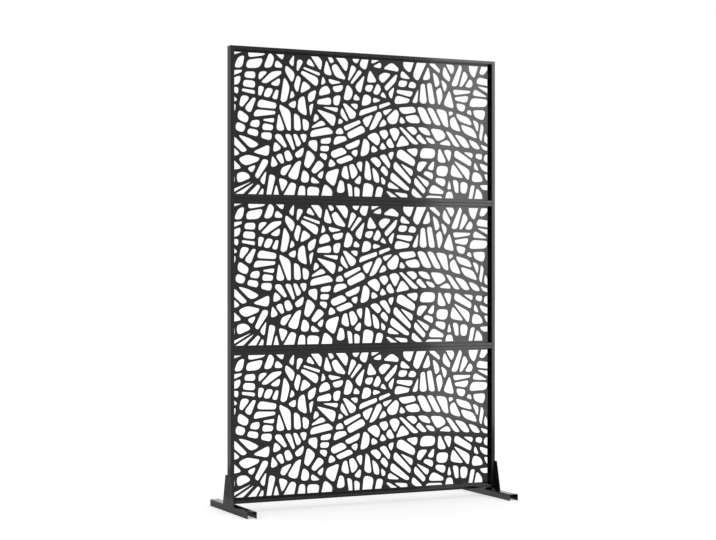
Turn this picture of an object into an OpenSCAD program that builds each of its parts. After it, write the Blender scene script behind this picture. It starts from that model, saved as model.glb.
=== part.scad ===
// Free-standing three-section privacy screen.
// Two tall tubes and six cross rails carry three laser cut sheets, and
// the whole frame stands on two channel feet with bolted side gussets.
// Origin: on the floor, under the middle of the screen.
// +X is to the right seen from the front, the front faces -Y, +Z is up.

/* [Frame] */
// Width over the two posts
frame_w = 1194; // [900:1:1500]
// Height of one of the three sections
section_h = 599; // [450:1:700]
// Face width of a post, seen from the front
post_w = 16; // [14:0.5:30]
// Face height of a cross rail, seen from the front
rail_h = 12.5; // [12:0.5:25]
// Depth of posts and rails from front to back
tube_d = 37; // [32:1:60]
// Wall of the post and rail tubes
tube_wall = 1.2; // [0.8:0.1:1.6]
// Outer corner radius of the tubes
tube_r = 1.5; // [1:0.1:3]
// Height of the flange of a post cap
cap_t = 1.5; // [1:0.1:3]

/* [Sheet] */
// Thickness of the laser cut sheet
sheet_t = 1.5; // [1:0.1:3]
// Distance that the sheet stays inside the outer edge of the frame
sheet_inset = 2; // [1:0.5:4]
// Gap between two sheets, one above the other
sheet_gap = 2; // [0.5:0.5:4]
// Solid strip of the sheet that shows above and below the rails
field_strip = 7.2; // [3:0.1:30]

/* [Cut pattern] */
// Variant of the pattern, each with other cells
variant = 15; // [0:1:40]
// Metal left along the main ribs
rib_bar = 13; // [8:0.5:18]
// Metal left between groups of cells
vein_bar = 14; // [8:0.5:18]
// Metal left between the cells of a group
thin_bar = 9.5; // [6:0.5:15]
// Area at which a group is no longer split, in square mm
group_area = 6000; // [5000:100:12000]
// Usual width of a cell
cell_w = 27; // [20:1:45]
// Length above which a cell is cut in two
cell_l = 120; // [70:5:160]
// Longest rounding of a cell's corners
cell_round = 18; // [4:0.5:20]

/* [Feet] */
// Length of a foot from front to back
foot_l = 400; // [300:1:600]
// Width of the foot channel
foot_w = 40; // [36:1:60]
// Height of the foot channel
foot_h = 26.5; // [20:0.5:50]
// Metal thickness of the foot channel
foot_wall = 2.5; // [2:0.1:4]
// Inner bend radius of the foot channel
foot_bend = 1.5; // [0.5:0.5:3]
// Ground fixing hole in the foot
ground_hole_d = 9; // [6:0.5:12]
// Distance of a ground fixing hole from the end of the foot
ground_hole_inset = 25; // [15:1:60]
// Gap between the foot and the lowest rail
rail_lift = 6.5; // [4:0.5:20]

/* [Gussets] */
// Thickness of a gusset plate
gusset_t = 3; // [3:0.5:6]
// Height of a gusset plate above the foot
gusset_h = 118; // [90:1:200]
// Width of a gusset plate along its top edge
gusset_top = 62; // [44:1:90]
// Width of a gusset plate where it stands on the foot
gusset_base = 116; // [90:1:200]
// Leg of the weld between gusset and foot
weld_leg = 2.5; // [1:0.5:4]

/* [Fasteners] */
// Diameter of the screws that hold the sheets
sheet_screw_d = 4; // [3:0.5:5]
// Length of the screws that hold the sheets
sheet_screw_l = 16; // [16:1:20]
// Diameter of the gusset screws and foot bolts
bolt_d = 5; // [4:0.5:6]
// Distance from a gusset's top edge down to its upper screw
gusset_screw_drop = 26; // [12:1:40]
// Length of a rail spigot inside its rail
spigot_grip = 25; // [15:1:40]
// Height of a spigot's tongue
tongue_h = 7; // [6:0.5:8]
// Depth of a spigot's tongue
tongue_d = 24; // [18:1:26]

/* [Hidden] */
$fn = 32;

sections = 3;
fit = 0.2;
weld_gap = 0.05;
bolt_hole_d = bolt_d + 0.5;
sheet_hole_d = sheet_screw_d + 0.4;

// Levels
frame_bottom = foot_h + rail_lift;
frame_top = frame_bottom + sections * section_h;
rail_mid = frame_bottom + rail_h / 2;

// Depths: the tubes and the sheet behind them are centred together
front_y = -(tube_d + sheet_t) / 2;
sheet_y = front_y + tube_d;
tube_y = front_y + tube_d / 2;

// Sideways: a gusset and the foot's outer wall are flush
foot_outer_r = foot_bend + foot_wall;
post_x = (frame_w - post_w) / 2;
foot_x = frame_w / 2 + gusset_t - foot_w / 2;
field_w = frame_w - 2 * post_w;
field_h = section_h - 2 * (rail_h + field_strip);

// Pieces inside the tubes
post_core = [post_w - 2 * tube_wall - 2 * fit, tube_d - 2 * tube_wall - 2 * fit];
rail_core = [tube_d - 2 * tube_wall - 2 * fit, rail_h - 2 * tube_wall - 2 * fit];
tongue_l = tube_wall + post_core[0] - 1;
plug_h = rail_lift + (rail_h - tongue_h) / 2 - 1;
cap_leg_h = 8;
cap_leg_t = (post_core[1] - tongue_d) / 2 - 1;
nut_across = 1.6 * bolt_d;
nut_t = 0.8 * bolt_d;

// Flat-headed gusset screws sit flush in the outer face of the gusset. The
// upper one's height is measured from the post's lower end.
gusset_screw_z = gusset_h - gusset_screw_drop;
screw_head_d = 2 * bolt_d;
screw_head_h = bolt_d / 2;

// Places of the sheet screws along a rail, as shares of the field width
rail_screw_shares = [-0.375, -0.125, 0.125, 0.375];

black = [0.13, 0.13, 0.135];
black_sheet = [0.17, 0.17, 0.175];
zinc = [0.62, 0.63, 0.64];
plastic = [0.07, 0.07, 0.07];

// ---- Cut pattern ---------------------------------------------------------
// Leaf-vein pattern. A leaning divider parts the field. To its right, three
// ribs rise to the right and part four bands, to its left there is one. Cross
// bars chop each band into blocks, blocks are split until they are small
// groups, and a group is sliced into cells that lean as the nearest patch says.

// Ribs from the bottom up, each a line of points in per cent of the field
rib_floor = [[-5, -5], [105, -5]];
rib_low = [[22, 10], [30, 15], [39, 20], [46, 26], [52, 29], [58, 34], [66, 37], [74, 39], [79, 39],
    [89, 37], [105, 34]];
rib_middle = [[22, 20], [30, 26], [36, 33], [45, 40], [50, 45], [57, 51], [63, 53], [72, 54], [84, 52],
    [94, 45], [105, 36]];
rib_arch = [[22, 32], [30, 40], [36, 47], [46, 55], [52, 61], [57, 65], [63, 68], [72, 69], [83, 68],
    [93, 62], [105, 52]];
rib_roof = [[-5, 105], [105, 105]];

// Foot of the divider in per cent of the field, and its lean
divider_x = 33;
divider_lean = 76;

// Bands: lower rib, upper rib, step of the cross bars in mm, their lean, their
// bar, and the side of the divider
bands = [
    [rib_floor, rib_roof, 190, 75, vein_bar, -1],
    [rib_floor, rib_low, 120, 80, vein_bar, 1],
    [rib_low, rib_middle, 76, 124, thin_bar, 1],
    [rib_middle, rib_arch, 84, 118, thin_bar, 1],
    [rib_arch, rib_roof, 120, 70, vein_bar, 1]];

// Patches: middle in per cent of the field, and the lean of the cells in degrees
patches = [
    [5, 93, 165], [5, 80, 30], [6, 68, 30], [14, 75, 45], [18, 89, 45], [23, 84, 60], [19, 61, 95],
    [28, 57, 115], [34, 93, 120], [30, 79, 150], [34, 71, 15], [39, 65, 130], [48, 84, 90], [53, 71, 60],
    [60, 95, 38], [67, 82, 25], [74, 89, 100], [80, 89, 115], [90, 89, 50], [95, 77, 10], [82, 73, 110],
    [3, 46, 115], [10, 54, 140], [13, 38, 135], [20, 41, 130], [30, 40, 2], [40, 41, 10], [5, 11, 40],
    [11, 14, 60], [19, 9, 90], [25, 16, 75], [30, 11, 55], [37, 11, 58], [45, 16, 120], [50, 13, 105],
    [56, 11, 100], [64, 9, 133], [73, 11, 140], [82, 11, 175], [91, 9, 70], [96, 14, 165], [62, 29, 150],
    [73, 29, 155], [86, 29, 130], [95, 29, 80]];

// How far the pattern strays from even steps
step_stray = 0.24; // place of a cross bar, as a share of the step
lean_stray = 10; // lean of a cross bar, in degrees
rib_stray = 3.5; // ends of a block from its rib, in mm
size_stray = 0.3; // area at which a group stays whole, as a share
split_shift = 0.12; // place of a split, as a share of the block's length
split_stray = 32; // lean of a split, in degrees
slice_shift = 0.22; // place of a slice, as a share of its width
slice_stray = 6; // lean of a group's slices, in degrees
slice_twist = 20; // lean of one slice against the others, in degrees
length_stray = 0.35; // longest length of a cell, as a share
cut_shift = 0.2; // place where a slice is cut, as a share of its length
cut_stray = 25; // lean of that cut, in degrees

// Limits of the pattern, in mm, square mm and degrees
rib_softening = 35; // half the length over which a rib's bends are eased
edge_follow = 34; // slices follow an edge that leans within this
followed_edge = 22; // shortest edge that slices follow
shortest_edge = 4;
narrowest_block = 14;
smallest_block = 100;
mean_cell = 1100; // slices aren't so thin that a group's mean cell is smaller
smallest_cell = 300;
narrowest_opening = 9;
smallest_opening = 250;
corner_steps = [0, 0.35, 0.65, 1];

// A repeatable value from 0 to 1 for any pair of numbers. Each block, group and
// slice has a number of its own for a, and b only picks another value for it.
function chance(a, b) = let (v = sin(a * 127.1 + b * 311.7 + 61.3 * variant + 17) * 43758.5453)
    v - floor(v);
// The same, from -1 to 1
function stray(a, b) = 2 * chance(a, b) - 1;

function total(list, i = 0) = i >= len(list) ? 0 : list[i] + total(list, i + 1);
function heading(angle) = [cos(angle), sin(angle)];
function left_of(d) = [-d.y, d.x];
function cross_of(a, b) = a.x * b.y - a.y * b.x;
function next(shape, i) = shape[(i + 1) % len(shape)];
function previous(shape, i) = shape[(i + len(shape) - 1) % len(shape)];
function middle(shape) = [total([for (p = shape) p.x]), total([for (p = shape) p.y])] / len(shape);
function area(shape) = len(shape) < 3 ? 0 :
    total([for (i = [0:len(shape) - 1]) cross_of(shape[i], next(shape, i))]) / 2;

// Angle between two directions, whichever way they point
function lean_apart(a, b) = let (t = ((a - b) % 180 + 180) % 180) min(t, 180 - t);

// Lowest and highest reach of a shape along a direction
function reach(shape, angle) = let (t = [for (p = shape) p * heading(angle)]) [min(t), max(t)];

// The way in which a shape is longest
function long_way(shape) = let (
    c = middle(shape),
    xx = total([for (p = shape) (p.x - c.x) ^ 2]),
    yy = total([for (p = shape) (p.y - c.y) ^ 2]),
    xy = total([for (p = shape) (p.x - c.x) * (p.y - c.y)]))
    atan2(2 * xy, xx - yy) / 2;

// How wide a shape is across its long way
function width(shape) = let (across = reach(shape, long_way(shape) + 90)) across[1] - across[0];

// The part of a convex shape to the left of the line through p along d
function kept(shape, p, d) = [for (i = [0:1:len(shape) - 1])
    let (a = shape[i], b = next(shape, i), sa = cross_of(d, a - p), sb = cross_of(d, b - p))
    each concat(sa >= 0 ? [a] : [], sa * sb < 0 ? [a + (b - a) * sa / (sa - sb)] : [])];

// The two parts of a shape on either side of a bar through p
function halves(shape, p, angle, bar) = let (d = heading(angle), side = left_of(d) * bar / 2)
    [kept(shape, p + side, d), kept(shape, p - side, -d)];

// A shape with each of its edges moved in by half of that edge's bar
function inset(shape, bars) = inset_by(shape, [for (i = [0:len(shape) - 1])
    let (a = shape[i], run = next(shape, i) - a, d = run / max(norm(run), 0.001))
    [a + left_of(d) * bars[i] / 2, d]]);
function inset_by(shape, lines, i = 0) = i >= len(lines) || len(shape) < 3 ? shape :
    inset_by(kept(shape, lines[i][0], lines[i][1]), lines, i + 1);

// Height of a rib at x, with its bends eased
function rib_at(rib, x) = let (scale = 100 / field_w, ease = rib_softening)
    (lookup((x - ease) * scale, rib) + lookup(x * scale, rib) + lookup((x + ease) * scale, rib))
    * field_h / 300;

// Where cross bar i of band k meets its lower (way -1) or upper (way 1) rib
function bar_end(band, k, i, way) = let (
    x = (i + step_stray * stray(i, k + 50)) * band[2],
    rise = rib_at(band[1], x) - rib_at(band[0], x),
    lean = band[3] + lean_stray * stray(i, k + 70),
    end_x = x + way * rise / 2 / tan(lean))
    [end_x, rib_at(band[way < 0 ? 0 : 1], end_x) - way * rib_stray * chance(i, k + way * 20)];

// The blocks between the cross bars of a band, on its side of the divider, each
// with its own number
function blocks(band, k) = [for (i = [-2:ceil(field_w / band[2]) + 2])
    let (
        ends = [for (end = [[0, -1], [1, -1], [1, 1], [0, 1]]) bar_end(band, k, i + end[0], end[1])],
        whole = inset(ends, [rib_bar, band[4], rib_bar, band[4]]),
        side = band[5],
        foot = [divider_x * field_w / 100 + side * vein_bar / 2, 0],
        block = kept(whole, foot, -side * heading(divider_lean)))
    if (area(block) > smallest_block && width(block) > narrowest_block) [block, i * 13.7 + k * 101.3]];

// Splits a block across its long way until its parts are small enough
function groups(shape, id) = area(shape) < group_area * (1 + size_stray * stray(id, 9)) ? [shape] :
    let (way = long_way(shape), ends = reach(shape, way),
         p = middle(shape) + heading(way) * (ends[1] - ends[0]) * split_shift * stray(id, 2),
         parts = halves(shape, p, way + 90 + split_stray * stray(id, 1), vein_bar))
    concat(groups(parts[0], 2 * id + 0.1), groups(parts[1], 2 * id + 1.1));

function nearest_patch(p) = let (
    away = [for (q = patches) norm([q[0] * field_w, q[1] * field_h] / 100 - p)])
    patches[[for (i = [0:len(away) - 1]) if (away[i] == min(away)) i][0]];

// The lean of the shape's own edge that is nearest to the lean asked for
function edge_lean(shape, lean) = let (
    leans = [for (i = [0:len(shape) - 1]) let (run = next(shape, i) - shape[i])
        if (norm(run) > followed_edge) atan2(run.y, run.x)],
    near = [for (a = leans) if (lean_apart(a, lean) < edge_follow) a],
    least = min(concat([edge_follow], [for (a = near) lean_apart(a, lean)])))
    concat([for (a = near) if (lean_apart(a, lean) == least) a], [lean])[0];

// Slices a group into cells that lie side by side
function slices(shape, id) = let (
    patch = nearest_patch(middle(shape)),
    lean = edge_lean(shape, patch[2]) + slice_stray * stray(id, 3),
    ends = reach(shape, lean + 90),
    wide = ends[1] - ends[0],
    n = max(1, min(round(wide / (cell_w + thin_bar)), round(area(shape) / mean_cell))),
    across = heading(lean + 90),
    along = heading(lean) * (middle(shape) * heading(lean)))
    [for (i = [0:n - 1]) let (
        low = ends[0] + wide * (i + slice_shift * stray(id, 10 + i)) / n + thin_bar / 2,
        high = ends[0] + wide * (i + 1 + slice_shift * stray(id, 11 + i)) / n - thin_bar / 2,
        cut = i == 0 ? shape :
            kept(shape, across * low + along, heading(lean + slice_twist * stray(id, 30 + i))),
        slice = i == n - 1 ? cut :
            kept(cut, across * high + along, -heading(lean + slice_twist * stray(id, 31 + i))))
        each shortened(slice, id + i * 7.3, lean)];

// Halves a slice until it is short enough
function shortened(shape, id, lean) = len(shape) < 3 ? [] : let (
    ends = reach(shape, lean), long = ends[1] - ends[0])
    long < cell_l * (1 + length_stray * stray(id, 5)) || area(shape) < 1.5 * mean_cell ? [shape] : let (
    p = middle(shape) + heading(lean) * long * cut_shift * stray(id, 6),
    parts = halves(shape, p, lean + 90 + cut_stray * stray(id, 7), thin_bar))
    concat(shortened(parts[0], id + 3.1, lean), shortened(parts[1], id + 5.7, lean));

// Drops corners that lie too close to the next one
function tidied(shape) = [for (i = [0:1:len(shape) - 1])
    if (norm(shape[i] - next(shape, i)) > shortest_edge) shape[i]];

// Replaces each corner by a short curve
function rounded(shape) = [for (i = [0:len(shape) - 1]) let (
    p = shape[i], to_a = previous(shape, i) - p, to_b = next(shape, i) - p,
    cut = min(cell_round, 0.45 * norm(to_a), 0.45 * norm(to_b)),
    a = p + to_a * cut / norm(to_a), b = p + to_b * cut / norm(to_b))
    for (t = corner_steps) (1 - t) ^ 2 * a + 2 * t * (1 - t) * p + t ^ 2 * b];

// Cuts a cell off straight at the edges of the field
function in_field(shape) = kept(kept(kept(kept(shape, [0, 0], [1, 0]), [field_w, 0], [0, 1]),
    [field_w, field_h], [-1, 0]), [0, field_h], [0, -1]);

// All openings of one sheet, measured from the field's lower left corner
function openings() = [for (k = [0:len(bands) - 1], block = blocks(bands[k], k))
    for (group = groups(block[0], block[1]), cell = slices(group, block[1] + group[0].x))
    let (outline = tidied(cell)) if (area(outline) > smallest_cell)
    let (opening = in_field(rounded(outline)))
    if (area(opening) > smallest_opening && width(opening) > narrowest_opening) opening];

// ---- Shared shapes -------------------------------------------------------

module rounded_rect(w, h, r) {
    square([w - 2 * r, h], center = true);
    square([w, h - 2 * r], center = true);
    for (x = [-1, 1], y = [-1, 1]) translate([x * (w / 2 - r), y * (h / 2 - r)]) circle(r);
}

// Section of a tube, w by h outside
module tube_section(w, h) {
    difference() {
        rounded_rect(w, h, tube_r);
        square([w - 2 * tube_wall, h - 2 * tube_wall], center = true);
    }
}

module mirrored(side) {
    mirror([side < 0 ? 1 : 0, 0, 0]) children();
}

// Level of the middle of a rail: section 0 is the lowest, end 0 its lower rail
function rail_z(section, end) = frame_bottom + section * section_h
    + (end == 0 ? rail_h / 2 : section_h - rail_h / 2);

// Places of one panel's screws, as [x, z]
function screw_places(section) = [for (end = [0, 1], s = [-1, 1]) [s * post_x, rail_z(section, end)],
    for (end = [0, 1], share = rail_screw_shares) [share * field_w, rail_z(section, end)],
    for (s = [-1, 1]) [s * post_x, frame_bottom + (section + 0.5) * section_h]];

// Holes for the sheet screws of a section, through whatever is behind the frame
module sheet_screw_holes(section) {
    for (p = screw_places(section)) translate([p[0], sheet_y - 2 * tube_wall, p[1]]) rotate([-90, 0, 0])
        cylinder(d = sheet_hole_d, h = 2 * tube_wall + 2 * sheet_t);
}

// ---- Frame ---------------------------------------------------------------

// A post is modelled for the right side and mirrored for the left
module post(side) {
    length = frame_top - cap_t - foot_h;
    color(black) difference() {
        mirrored(side) translate([post_x, tube_y, foot_h]) difference() {
            linear_extrude(length) tube_section(post_w, tube_d);
            for (section = [0:sections - 1], end = [0, 1])
                translate([-post_w / 2, 0, rail_z(section, end) - foot_h])
                    cube([post_w, tongue_d + 2 * fit, tongue_h + 2 * fit], center = true);
            for (z = [rail_mid - foot_h, gusset_screw_z]) translate([0, 0, z]) rotate([0, 90, 0])
                cylinder(d = bolt_hole_d, h = post_w);
        }
        for (section = [0:sections - 1]) sheet_screw_holes(section);
    }
}

module left_post() post(-1);
module right_post() post(1);

// A cap with two legs, of which the rear one lets the sheet's corner screw through
module post_cap(side) {
    color(plastic) mirrored(side) difference() {
        translate([post_x, tube_y, frame_top - cap_t]) {
            linear_extrude(cap_t) rounded_rect(post_w, tube_d, tube_r);
            for (s = [-1, 1]) translate([0, s * (post_core[1] - cap_leg_t) / 2, -cap_leg_h / 2])
                cube([post_core[0], cap_leg_t, cap_leg_h], center = true);
        }
        translate([post_x, tube_y, rail_z(sections - 1, 1)]) rotate([-90, 0, 0])
            cylinder(d = sheet_hole_d, h = tube_d);
    }
}

module left_post_cap() post_cap(-1);
module right_post_cap() post_cap(1);

module rail(section, end) {
    color(black) difference() {
        translate([-field_w / 2, tube_y, rail_z(section, end)]) rotate([90, 0, 90])
            linear_extrude(field_w) tube_section(tube_d, rail_h);
        sheet_screw_holes(section);
    }
}

module bottom_section_bottom_rail() rail(0, 0);
module bottom_section_top_rail() rail(0, 1);
module middle_section_bottom_rail() rail(1, 0);
module middle_section_top_rail() rail(1, 1);
module top_section_bottom_rail() rail(2, 0);
module top_section_top_rail() rail(2, 1);

// One spigot fills the end of a rail and reaches into the post with a tongue
module spigot(section, end, side) {
    z = rail_z(section, end);
    difference() {
        mirrored(side) translate([field_w / 2, tube_y, z]) {
            translate([-spigot_grip / 2, 0, 0])
                cube([spigot_grip, rail_core[0], rail_core[1]], center = true);
            translate([tongue_l / 2, 0, 0]) cube([tongue_l, tongue_d, tongue_h], center = true);
        }
        translate([side * post_x, tube_y, z]) rotate([-90, 0, 0]) cylinder(d = sheet_hole_d, h = tube_d);
        if (section == 0 && end == 0) mirrored(side) translate([field_w / 2 - spigot_grip, tube_y, z])
            rotate([0, 90, 0]) cylinder(d = bolt_hole_d, h = spigot_grip + tongue_l);
    }
}

module rail_spigots(side) {
    color(plastic) for (section = [0:sections - 1], end = [0, 1]) spigot(section, end, side);
}

module left_rail_spigots() rail_spigots(-1);
module right_rail_spigots() rail_spigots(1);

// ---- Panels --------------------------------------------------------------

module panel(section) {
    w = frame_w - 2 * sheet_inset;
    z0 = frame_bottom + section * section_h;
    color(black_sheet) translate([0, sheet_y + sheet_t, z0]) rotate([90, 0, 0])
        linear_extrude(sheet_t) difference() {
            translate([-w / 2, sheet_gap / 2]) square([w, section_h - sheet_gap]);
            translate([-field_w / 2, rail_h + field_strip]) for (opening = openings()) polygon(opening);
            for (p = screw_places(section)) translate([p[0], p[1] - z0]) circle(d = sheet_hole_d);
        }
}

module bottom_panel() panel(0);
module middle_panel() panel(1);
module top_panel() panel(2);

// Low round head with a hexagon socket, on a plain shank pointing down
module sheet_screw() {
    r = sheet_screw_d / 2;
    head_r = sheet_screw_d;
    head_h = 0.55 * sheet_screw_d;
    difference() {
        rotate_extrude() polygon([[0, -sheet_screw_l], [0.7 * r, -sheet_screw_l], [r, 1 - sheet_screw_l],
            [r, 0], [head_r, 0], [head_r, 0.27 * head_h], [0.875 * head_r, 0.64 * head_h],
            [0.65 * head_r, 0.93 * head_h], [0.5 * head_r, head_h], [0, head_h]]);
        translate([0, 0, 0.4 * head_h]) cylinder(d = 0.725 * sheet_screw_d, h = head_h, $fn = 6);
    }
}

module panel_screws(section) {
    color(black) for (p = screw_places(section))
        translate([p[0], sheet_y + sheet_t, p[1]]) rotate([-90, 0, 0]) sheet_screw();
}

module bottom_panel_screws() panel_screws(0);
module middle_panel_screws() panel_screws(1);
module top_panel_screws() panel_screws(2);

// ---- Feet ----------------------------------------------------------------

module foot(side) {
    bend_x = foot_w / 2 - foot_outer_r;
    bend_z = foot_h - foot_outer_r;
    color(black) mirrored(side) translate([foot_x, 0, 0]) difference() {
        translate([0, foot_l / 2, 0]) rotate([90, 0, 0]) linear_extrude(foot_l) difference() {
            union() {
                translate([-foot_w / 2, 0]) square([foot_w, bend_z]);
                translate([-bend_x, 0]) square([2 * bend_x, foot_h]);
                for (s = [-1, 1]) translate([s * bend_x, bend_z]) circle(foot_outer_r);
            }
            translate([foot_wall - foot_w / 2, -1]) square([foot_w - 2 * foot_wall, bend_z + 1]);
            translate([-bend_x, 0]) square([2 * bend_x, foot_h - foot_wall]);
            for (s = [-1, 1]) translate([s * bend_x, bend_z]) circle(foot_bend);
        }
        for (s = [-1, 1]) translate([0, s * (foot_l / 2 - ground_hole_inset), 0])
            cylinder(d = ground_hole_d, h = foot_h + 1);
        translate([post_x - foot_x, tube_y, 0]) cylinder(d = bolt_hole_d, h = foot_h + 1);
    }
}

module left_foot() foot(-1);
module right_foot() foot(1);

// A plate with a weld along its inner face, and one dressed flush over the foot's outer bend
module gusset(side) {
    color(black) mirrored(side) difference() {
        union() {
            translate([frame_w / 2, 0, foot_h]) rotate([90, 0, 90]) linear_extrude(gusset_t) polygon([
                [-gusset_base / 2, 0], [gusset_base / 2, 0], [gusset_base / 2, 6],
                [gusset_top / 2, gusset_h - 2], [gusset_top / 2 - 2, gusset_h],
                [2 - gusset_top / 2, gusset_h], [-gusset_top / 2, gusset_h - 2], [-gusset_base / 2, 6]]);
            for (s = [-1, 1]) translate([frame_w / 2, s * (tube_d + gusset_base) / 4, foot_h])
                rotate([90, 0, 0]) linear_extrude((gusset_base - tube_d) / 2 - 8, center = true)
                    polygon([[0.5, 0], [0.5, weld_leg], [0, weld_leg], [-weld_leg, 0]]);
            translate([frame_w / 2 + gusset_t - foot_outer_r, gusset_base / 2, foot_h - foot_outer_r])
                rotate([90, 0, 0]) linear_extrude(gusset_base) difference() {
                    translate([foot_outer_r - gusset_t, 0]) square([gusset_t, foot_outer_r + 0.5]);
                    circle(foot_outer_r + weld_gap);
                }
        }
        for (z = [rail_mid, foot_h + gusset_screw_z])
            translate([frame_w / 2, tube_y, z]) rotate([0, 90, 0]) {
                translate([0, 0, -1]) cylinder(d = bolt_hole_d, h = gusset_t + 2);
                translate([0, 0, gusset_t - screw_head_h])
                    cylinder(d1 = bolt_hole_d, d2 = screw_head_d + fit, h = screw_head_h);
            }
    }
}

module left_gusset() gusset(-1);
module right_gusset() gusset(1);

// Countersunk screw, its head's face at z = 0 and its shank pointing down
module flat_screw(length) {
    difference() {
        rotate_extrude() polygon([[0, -length], [bolt_d / 2, -length], [bolt_d / 2, -screw_head_h],
            [screw_head_d / 2 - fit, -0.2], [screw_head_d / 2 - fit, 0], [0, 0]]);
        translate([0, 0, -screw_head_h / 2]) cylinder(d = bolt_d * 0.7, h = screw_head_h, $fn = 6);
    }
}

module gusset_screws(side) {
    color(black) mirrored(side) {
        translate([frame_w / 2 + gusset_t, tube_y, rail_mid]) rotate([0, 90, 0])
            flat_screw(gusset_t + post_w + spigot_grip / 2);
        translate([frame_w / 2 + gusset_t, tube_y, foot_h + gusset_screw_z]) rotate([0, 90, 0])
            flat_screw(gusset_t + tube_wall + nut_t + 2);
    }
}

module left_gusset_screws() gusset_screws(-1);
module right_gusset_screws() gusset_screws(1);

// Hexagon nut welded inside the post's outer wall
module weld_nut(side) {
    color(zinc) mirrored(side)
        translate([frame_w / 2 - tube_wall - nut_t, tube_y, foot_h + gusset_screw_z])
        rotate([0, 90, 0]) difference() {
            cylinder(d = nut_across / cos(30), h = nut_t, $fn = 6);
            translate([0, 0, -1]) cylinder(d = bolt_d + fit, h = nut_t + 2);
        }
}

module left_weld_nut() weld_nut(-1);
module right_weld_nut() weld_nut(1);

// Threaded block in the lower end of a post
module post_plug(side) {
    color(zinc) mirrored(side) translate([post_x, tube_y, foot_h]) difference() {
        translate([0, 0, plug_h / 2]) cube([post_core[0], post_core[1], plug_h], center = true);
        translate([0, 0, -1]) cylinder(d = bolt_d + fit, h = plug_h + 2);
    }
}

module left_post_plug() post_plug(-1);
module right_post_plug() post_plug(1);

// Bolt from inside the channel, through its web and into the post's plug
module foot_bolt(side) {
    head_r = 0.9 * bolt_d;
    head_h = 0.7 * bolt_d;
    shank = foot_wall + plug_h - 1;
    color(zinc) mirrored(side) translate([post_x, tube_y, foot_h - foot_wall]) difference() {
        union() {
            translate([0, 0, -head_h]) cylinder(r = head_r, h = head_h);
            cylinder(d = bolt_d, h = shank);
        }
        translate([0, 0, -head_h - 1]) cylinder(d = 0.8 * bolt_d, h = head_h / 2 + 1, $fn = 6);
    }
}

module left_foot_bolt() foot_bolt(-1);
module right_foot_bolt() foot_bolt(1);

// ---- Nodes ---------------------------------------------------------------

left_post();
right_post();
left_post_cap();
right_post_cap();
top_section_top_rail();
top_section_bottom_rail();
middle_section_top_rail();
middle_section_bottom_rail();
bottom_section_top_rail();
bottom_section_bottom_rail();
left_rail_spigots();
right_rail_spigots();
top_panel();
middle_panel();
bottom_panel();
top_panel_screws();
middle_panel_screws();
bottom_panel_screws();
left_foot();
right_foot();
left_gusset();
right_gusset();
left_gusset_screws();
right_gusset_screws();
left_weld_nut();
right_weld_nut();
left_post_plug();
right_post_plug();
left_foot_bolt();
right_foot_bolt();
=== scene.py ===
"""Free-standing metal privacy screen: its looks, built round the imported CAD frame."""

import math

import bmesh
import bpy
from mathutils import Matrix, Vector


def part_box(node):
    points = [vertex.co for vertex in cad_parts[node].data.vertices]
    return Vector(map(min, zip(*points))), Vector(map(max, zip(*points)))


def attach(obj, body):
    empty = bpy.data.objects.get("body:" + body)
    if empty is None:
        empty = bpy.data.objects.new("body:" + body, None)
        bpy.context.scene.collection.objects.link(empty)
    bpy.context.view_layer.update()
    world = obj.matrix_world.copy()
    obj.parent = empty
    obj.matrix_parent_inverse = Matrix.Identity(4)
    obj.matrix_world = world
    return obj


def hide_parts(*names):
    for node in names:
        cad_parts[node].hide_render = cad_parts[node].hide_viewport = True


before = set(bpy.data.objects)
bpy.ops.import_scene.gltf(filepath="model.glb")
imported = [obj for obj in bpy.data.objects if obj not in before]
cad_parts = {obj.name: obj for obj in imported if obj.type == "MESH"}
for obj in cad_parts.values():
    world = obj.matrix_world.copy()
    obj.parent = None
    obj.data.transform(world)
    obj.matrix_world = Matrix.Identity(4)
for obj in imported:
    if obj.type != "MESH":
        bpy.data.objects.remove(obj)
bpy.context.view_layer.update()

BODY = "root"
SIDES = {"left": -1, "right": 1}
SECTIONS = ("bottom", "middle", "top")
MM = 0.001
MICRON = 0.000001
NEAR = 0.01 * MM    # Places nearer than this are one place.
ALIGNED = 0.999     # Directions with a larger cosine between them are one direction.
SHARP = 0.9         # An edge that turns by more than this is sharp, in radians.

bl_info = {
    "name": "Laser cut metal screen",
    "version": (1, 0, 0),
    "blender": (4, 5, 0),
    "location": "3D View > Sidebar > Metal screen",
    "description": "Builds the finished pieces of a free-standing laser cut privacy screen",
    "category": "Object",
}


def size_prop(name, default, description):
    """A length in millimetres that a user may change."""
    return bpy.props.FloatProperty(name=name, description=description, default=default, min=0.01, max=2000)


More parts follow.
